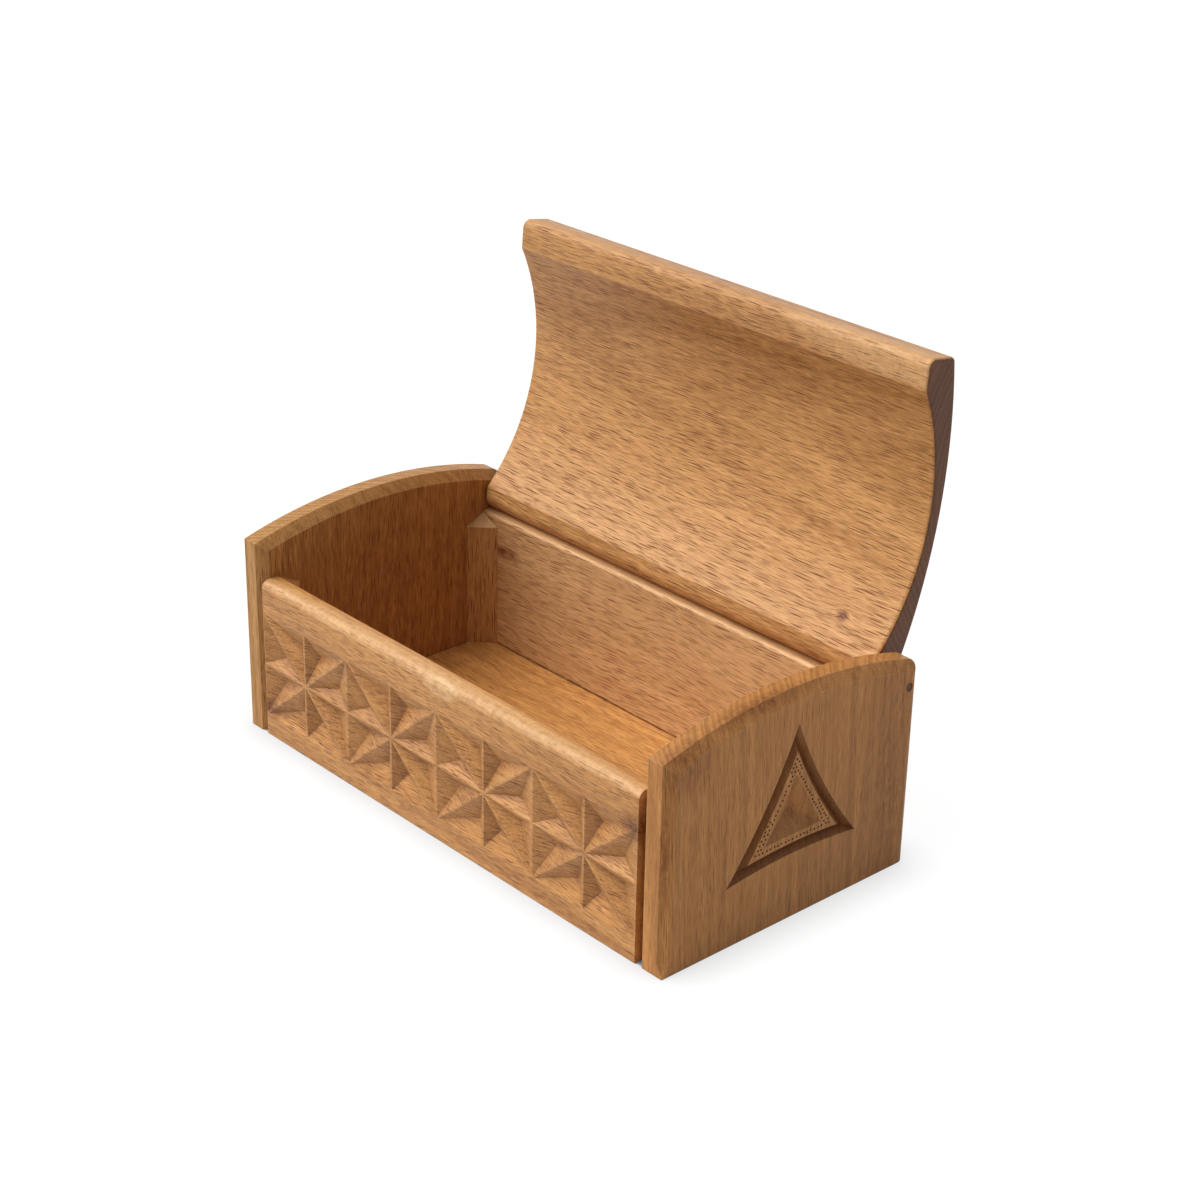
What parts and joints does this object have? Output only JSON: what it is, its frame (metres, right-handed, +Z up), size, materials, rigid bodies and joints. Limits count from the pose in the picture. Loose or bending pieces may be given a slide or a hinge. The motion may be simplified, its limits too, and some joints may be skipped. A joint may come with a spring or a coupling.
{
  "type": "dice box with hinged lid",
  "caption": "Small hardwood dice box with arched end panels, a chip-carved front and a hollowed one-piece lid that turns on hidden pins and leans back open.",
  "frame": {"origin": "centre of the case's underside", "axes": "+X along the box to its right end, -Y out of the carved front, +Z up"},
  "size_m": [0.18, 0.1083, 0.1385],
  "materials": {
    "beech_upright": "oiled satin, upright grain",
    "beech_front": "oiled satin, grain along the box",
    "beech_lengthwise": "oiled satin, grain along the box",
    "beech_block": "oiled satin, upright grain",
    "beech_lid": "oiled satin, grain along the box",
    "pin_steel": "darkened"
  },
  "bodies": {
    "case": {"right_end_panel": "beech_upright", "left_end_panel": "beech_upright", "front_panel": "beech_front", "back_panel": "beech_lengthwise", "base_panel": "beech_lengthwise", "corner_block_rear_right": "beech_block", "corner_block_rear_left": "beech_block", "corner_block_front_right": "beech_block", "corner_block_front_left": "beech_block", "hinge_pin_right": "pin_steel", "hinge_pin_left": "pin_steel"},
    "lid": {"lid": "beech_lid"}
  },
  "joints": [
    {"name": "lid_hinge", "type": "hinge", "parent": "case", "child": "lid", "pos_m": [0, 0.0415, 0.05363], "axis": [1, 0, 0], "range_deg": [0, 99.6]}
  ]
}
